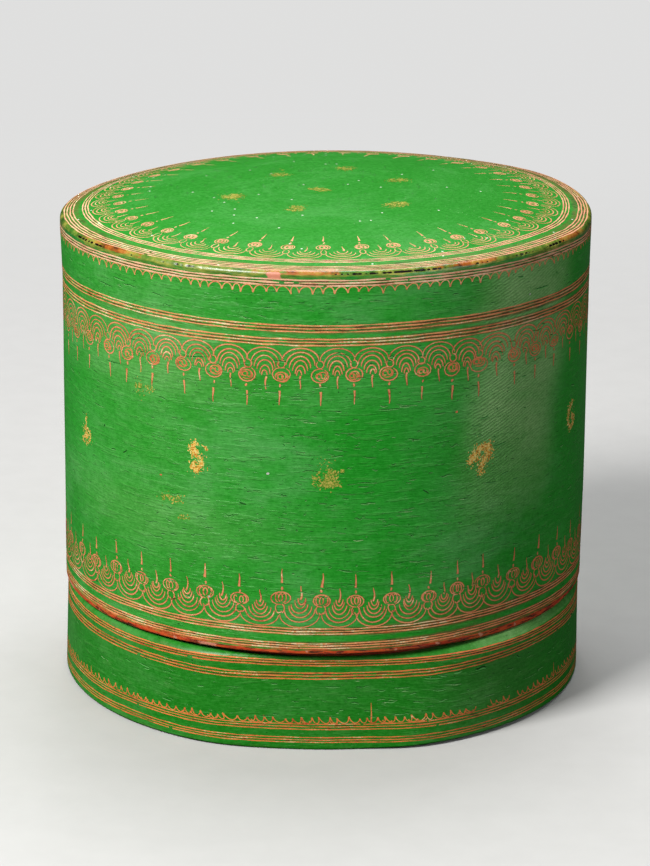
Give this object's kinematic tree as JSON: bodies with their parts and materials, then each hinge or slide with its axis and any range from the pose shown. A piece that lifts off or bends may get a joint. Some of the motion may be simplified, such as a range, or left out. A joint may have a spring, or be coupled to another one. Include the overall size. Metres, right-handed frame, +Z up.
{
  "type": "lacquer betel box",
  "caption": "Round lacquered betel box of wound bamboo: a deep lid lifts off a low skirted base that holds lift-out trays.",
  "frame": {"origin": "on the surface the box stands on, at the middle of the foot hoop's underside", "axes": "+Z up the box's axis of rotation; the box is round, and the picture looks along +Y"},
  "size_m": [0.216, 0.216, 0.2045],
  "materials": {
    "green_lacquer": "green lacquer over wound bamboo, semi-gloss, engraved",
    "worn_red_edge": "red lacquer showing through worn green",
    "red_lacquer": "red lacquer over wound bamboo, semi-gloss",
    "black_lacquer": "black lacquer ground coat, satin"
  },
  "bodies": {
    "box": {"foot_hoop": "green_lacquer", "base_wall": "red_lacquer", "base_rim_hoop": "red_lacquer", "skirt_wall": "green_lacquer", "ledge_hoop": "green_lacquer", "base_floor": "red_lacquer", "floor_hoop": "black_lacquer", "corner_fillet_hoop": "red_lacquer", "tray_rest_hoop": "red_lacquer"},
    "lower_tray": {"lower_tray_wall": "red_lacquer", "lower_tray_floor": "red_lacquer", "lower_tray_foot_hoop": "black_lacquer", "lower_tray_rim": "red_lacquer"},
    "upper_tray": {"upper_tray_wall": "red_lacquer", "upper_tray_floor": "red_lacquer", "upper_tray_foot_hoop": "black_lacquer", "upper_tray_lip": "red_lacquer", "upper_tray_rim": "red_lacquer"},
    "lid": {"lid_mouth_hoop": "worn_red_edge", "lid_wall": "green_lacquer", "lid_top_bead": "green_lacquer", "lid_corner_hoop": "black_lacquer", "lid_top": "green_lacquer"}
  },
  "joints": [
    {"name": "lower_tray_lift", "type": "slide", "parent": "box", "child": "lower_tray", "axis": [0, 0, 1], "range_m": [0, 0.095]},
    {"name": "upper_tray_lift", "type": "slide", "parent": "lower_tray", "child": "upper_tray", "axis": [0, 0, 1], "range_m": [0, 0.055]},
    {"name": "lid_lift", "type": "slide", "parent": "upper_tray", "child": "lid", "axis": [0, 0, 1], "range_m": [0, 0.165]}
  ]
}
